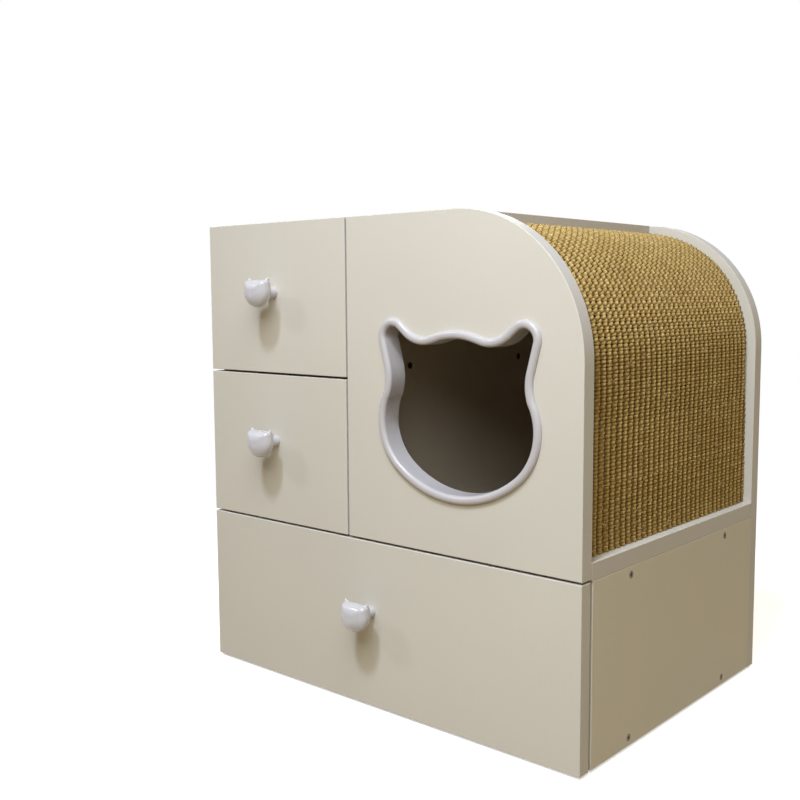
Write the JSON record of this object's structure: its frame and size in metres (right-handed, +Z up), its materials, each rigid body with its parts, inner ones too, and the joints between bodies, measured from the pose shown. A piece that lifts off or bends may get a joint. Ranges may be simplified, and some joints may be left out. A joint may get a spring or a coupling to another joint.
{
  "type": "litter box enclosure",
  "caption": "Laminated cabinet that holds a litter tray in a wide lower drawer, with a cat-head entrance, a rounded sisal-covered side and small storage drawers.",
  "frame": {"origin": "on the floor, in the middle of the footprint, knobs included", "axes": "+Z up; -Y out of the front, the way the drawers open; +X towards the rounded sisal side"},
  "size_m": [0.54, 0.441, 0.548],
  "materials": {
    "laminate": "satin greige laminate on board",
    "drawer_board": "satin laminate on thin board",
    "backing_plywood": "raw bent plywood",
    "sisal": "woven sisal cord",
    "trim_plastic": "glossy moulded",
    "knob_plastic": "glossy lacquered",
    "slide_steel": "zinc plated",
    "ball_steel": "polished",
    "zinc_steel": "zinc plated",
    "bronze_steel": "dark bronze plated",
    "dowel_wood": "raw beech",
    "tray_plastic": "moulded, fine texture",
    "glide_plastic": "moulded"
  },
  "bodies": {
    "cabinet": {"bottom_board": "laminate", "lower_left_side": "laminate", "lower_right_side": "laminate", "lower_top_board": "laminate", "deck_board": "laminate", "upper_left_side": "laminate", "partition_panel": "laminate", "drawer_shelf": "laminate", "top_board": "laminate", "back_panel": "laminate", "entry_front_panel": "laminate", "glide_feet": "glide_plastic", "curved_backing": "backing_plywood", "front_curved_rib": "backing_plywood", "back_curved_rib": "backing_plywood", "sisal_mat": "sisal", "entry_ring_front": "trim_plastic", "entry_ring_back": "trim_plastic", "entry_ring_screws": "zinc_steel", "side_screws": "bronze_steel", "back_panel_screws": "bronze_steel", "short_screws": "bronze_steel", "dowels": "dowel_wood", "cabinet_slide_rails": "slide_steel", "cabinet_slide_screws": "zinc_steel"},
    "litter_drawer": {"litter_drawer_front": "laminate", "litter_drawer_left_side": "drawer_board", "litter_drawer_right_side": "drawer_board", "litter_drawer_inner_front": "drawer_board", "litter_drawer_back": "drawer_board", "litter_drawer_bottom": "drawer_board", "litter_drawer_knob": "knob_plastic", "litter_drawer_knob_bolt": "zinc_steel", "litter_drawer_slide_members": "slide_steel", "litter_drawer_slide_screws": "zinc_steel", "litter_tray": "tray_plastic"},
    "litter_drawer_cages": {"litter_drawer_ball_cages": "ball_steel"},
    "lower_drawer": {"lower_drawer_front": "laminate", "lower_drawer_left_side": "drawer_board", "lower_drawer_right_side": "drawer_board", "lower_drawer_inner_front": "drawer_board", "lower_drawer_back": "drawer_board", "lower_drawer_bottom": "drawer_board", "lower_drawer_knob": "knob_plastic", "lower_drawer_knob_bolt": "zinc_steel", "lower_drawer_slide_members": "slide_steel", "lower_drawer_slide_screws": "zinc_steel"},
    "lower_drawer_cages": {"lower_drawer_ball_cages": "ball_steel"},
    "upper_drawer": {"upper_drawer_front": "laminate", "upper_drawer_left_side": "drawer_board", "upper_drawer_right_side": "drawer_board", "upper_drawer_inner_front": "drawer_board", "upper_drawer_back": "drawer_board", "upper_drawer_bottom": "drawer_board", "upper_drawer_knob": "knob_plastic", "upper_drawer_knob_bolt": "zinc_steel", "upper_drawer_slide_members": "slide_steel", "upper_drawer_slide_screws": "zinc_steel"},
    "upper_drawer_cages": {"upper_drawer_ball_cages": "ball_steel"}
  },
  "joints": [
    {"name": "litter_drawer_slide", "type": "slide", "parent": "cabinet", "child": "litter_drawer", "axis": [0, -1, 0], "range_m": [0, 0.258]},
    {"name": "litter_drawer_cage_slide", "type": "slide", "parent": "cabinet", "child": "litter_drawer_cages", "axis": [0, -1, 0], "range_m": [0, 0.129]},
    {"name": "lower_drawer_slide", "type": "slide", "parent": "cabinet", "child": "lower_drawer", "axis": [0, -1, 0], "range_m": [0, 0.258]},
    {"name": "lower_drawer_cage_slide", "type": "slide", "parent": "cabinet", "child": "lower_drawer_cages", "axis": [0, -1, 0], "range_m": [0, 0.129]},
    {"name": "upper_drawer_slide", "type": "slide", "parent": "cabinet", "child": "upper_drawer", "axis": [0, -1, 0], "range_m": [0, 0.258]},
    {"name": "upper_drawer_cage_slide", "type": "slide", "parent": "cabinet", "child": "upper_drawer_cages", "axis": [0, -1, 0], "range_m": [0, 0.129]}
  ],
  "couplings": [
    {"joint": "litter_drawer_cage_slide", "follows": "litter_drawer_slide", "ratio": 0.5},
    {"joint": "lower_drawer_cage_slide", "follows": "lower_drawer_slide", "ratio": 0.5},
    {"joint": "upper_drawer_cage_slide", "follows": "upper_drawer_slide", "ratio": 0.5}
  ]
}
